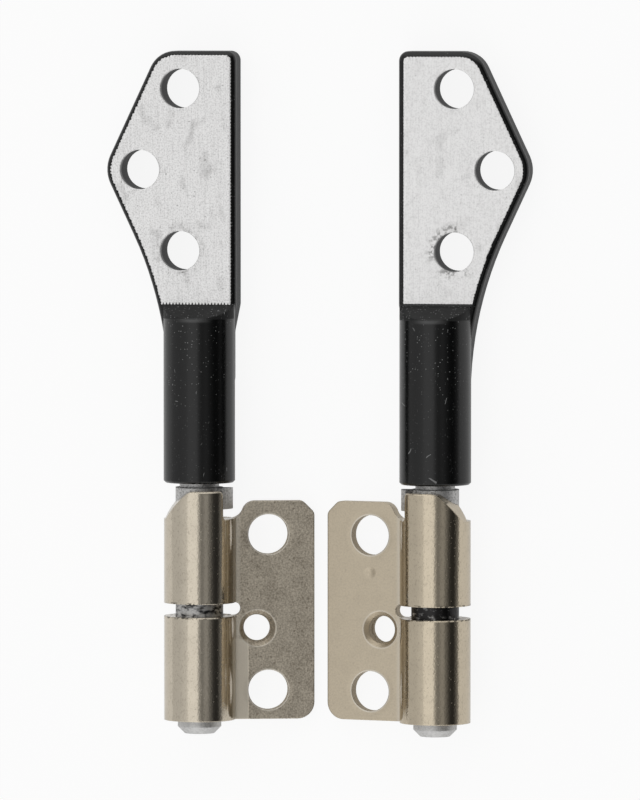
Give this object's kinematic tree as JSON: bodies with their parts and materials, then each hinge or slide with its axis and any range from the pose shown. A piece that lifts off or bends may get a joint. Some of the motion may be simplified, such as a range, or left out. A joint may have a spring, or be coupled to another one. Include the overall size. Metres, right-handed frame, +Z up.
{
  "type": "laptop hinge pair",
  "caption": "Mirrored left and right friction hinges for a laptop lid: cast arm with bare screw face on a shaft turning in a rolled sheet bracket with a screw leaf.",
  "frame": {"origin": "middle of the pair's outline on the surface that it lies on, which the backs of the arms' plates and the far edges of the leaves meet", "axes": "+X from the left hinge to the right hinge, +Y along the hinge axes towards the arms' upper ends, +Z up from the surface, the way the screw faces look"},
  "size_m": [0.0312, 0.0502, 0.0053],
  "materials": {
    "nickel_sheet": "nickel-plated sheet steel, warm grey, smooth with faint stains",
    "shaft_steel": "turned steel, matt grey, greasy",
    "black_coat": "die-cast zinc with a satin black coat and a bare ground screw face"
  },
  "bodies": {
    "brackets": {"left_bracket": "nickel_sheet", "right_bracket": "nickel_sheet"},
    "left_arm": {"left_arm": "black_coat", "left_shaft": "shaft_steel"},
    "right_arm": {"right_arm": "black_coat", "right_shaft": "shaft_steel"}
  },
  "joints": [
    {"name": "left_arm_turn", "type": "hinge", "parent": "brackets", "child": "left_arm", "pos_m": [-0.00875, -0.00659, 0.00267], "axis": [0, 1, 0], "range_deg": [0, 190]},
    {"name": "right_arm_turn", "type": "hinge", "parent": "brackets", "child": "right_arm", "pos_m": [0.00875, -0.00659, 0.00267], "axis": [0, -1, 0], "range_deg": [0, 190]}
  ]
}
